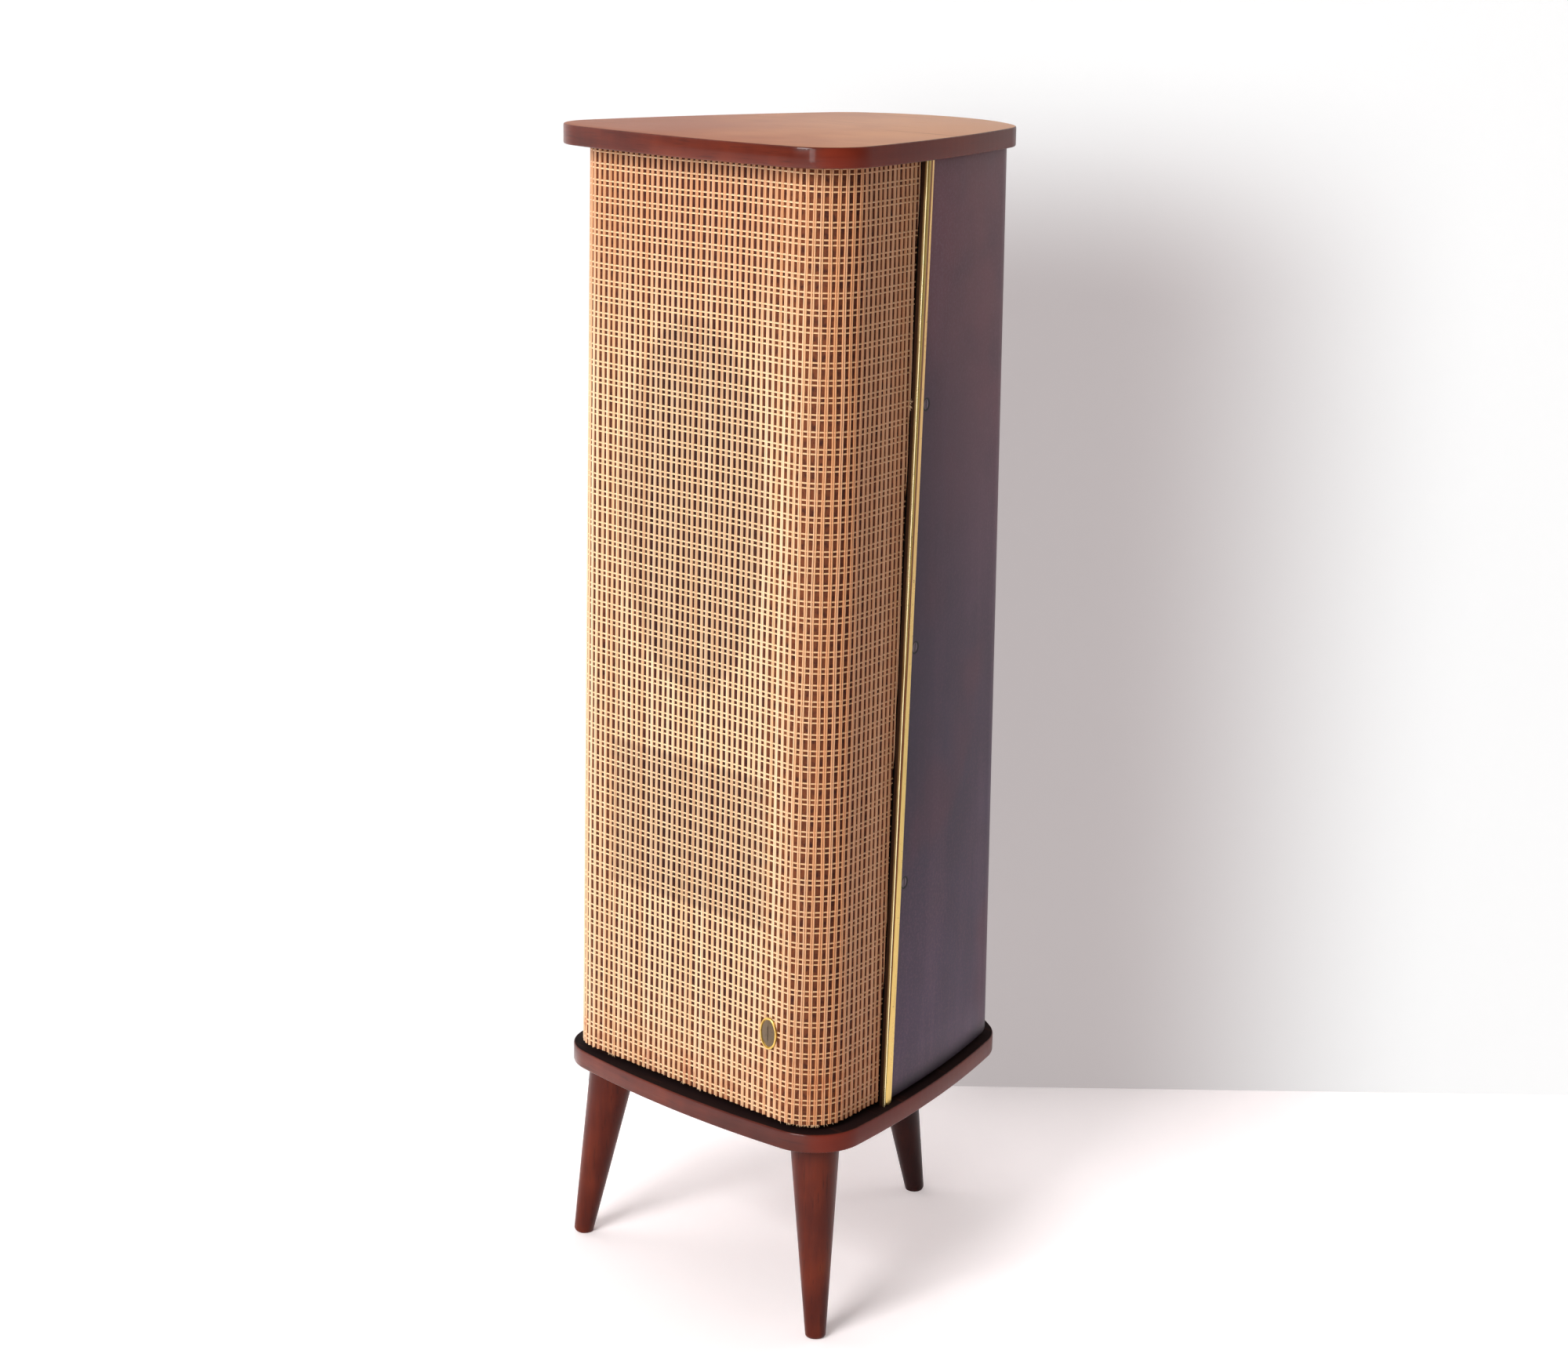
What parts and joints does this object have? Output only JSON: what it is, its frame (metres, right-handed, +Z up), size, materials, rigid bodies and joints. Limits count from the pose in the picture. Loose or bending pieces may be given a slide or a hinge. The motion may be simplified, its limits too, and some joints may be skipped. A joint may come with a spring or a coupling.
{
  "type": "floor-standing loudspeaker",
  "caption": "Tall loudspeaker column on three splayed wooden legs, with a cloth-wrapped front, a bent rear shell and a plate at each end.",
  "frame": {"origin": "on the floor, under the middle of the bounding box", "axes": "+Z up, -Y out of the cloth front, +X to the right of a viewer who faces the front"},
  "size_m": [0.295, 0.32, 0.9],
  "materials": {
    "lacquered_wood": "satin reddish lacquer over hardwood",
    "black_paint": "flat black stained board",
    "raw_board": "unfinished birch and chipboard",
    "woven_cloth": "open weave of straw strands with brown gaps",
    "trim_brass": "polished, lightly worn",
    "shell_paint": "smooth aubergine lacquer over bent plywood",
    "dark_steel": "dulled screw heads",
    "bright_steel": "zinc plated",
    "basket_steel": "grey hammered paint",
    "gasket_board": "pressed fibre",
    "terminal_board": "laminated paper board",
    "cone_paper": "pressed paper",
    "cap_felt": "felt",
    "coil_former": "varnished paper and copper wire",
    "spider_cloth": "varnished linen",
    "copper_braid": "fine copper braid",
    "magnet_ferrite": "dark ferrite",
    "socket_board": "black laminate",
    "lead_insulation": "brown insulation",
    "clip_fibre": "black fibre"
  },
  "bodies": {
    "cabinet": {"top_plate": "lacquered_wood", "base_plate": "lacquered_wood", "shadow_spacer": "black_paint", "bottom_board": "raw_board", "top_board": "raw_board", "baffle_board": "raw_board", "corner_post_left": "raw_board", "corner_post_right": "raw_board", "grille_cloth": "woven_cloth", "badge": "trim_brass", "rear_shell": "shell_paint", "edge_trim_left": "trim_brass", "edge_trim_right": "trim_brass", "side_cleat_left": "raw_board", "side_cleat_right": "raw_board", "shell_screws": "dark_steel", "leg_front_left": "lacquered_wood", "leg_front_right": "lacquered_wood", "leg_rear": "lacquered_wood", "leg_bolts": "bright_steel", "leg_inserts": "bright_steel", "base_screws": "bright_steel", "top_screws": "bright_steel", "driver_basket": "basket_steel", "driver_gasket": "gasket_board", "driver_screws": "bright_steel", "driver_terminals": "terminal_board", "pole_washer": "bright_steel", "magnet": "magnet_ferrite", "yoke": "bright_steel", "socket_block": "raw_board", "socket_plate": "socket_board", "plug_sockets": "bright_steel", "socket_screws": "bright_steel", "speaker_lead": "lead_insulation", "lead_clips": "clip_fibre"},
    "cone_assembly": {"cone": "cone_paper", "dust_cap": "cap_felt", "voice_coil": "coil_former", "cone_surround": "cone_paper", "spider": "spider_cloth", "tinsel_leads": "copper_braid"}
  },
  "joints": [
    {"name": "cone_travel", "type": "slide", "parent": "cabinet", "child": "cone_assembly", "axis": [0, -1, 0.0098], "range_m": [-0.003, 0.003], "stiffness_N_per_m": 1800, "deforming": ["cone_surround", "spider", "tinsel_leads"]}
  ]
}
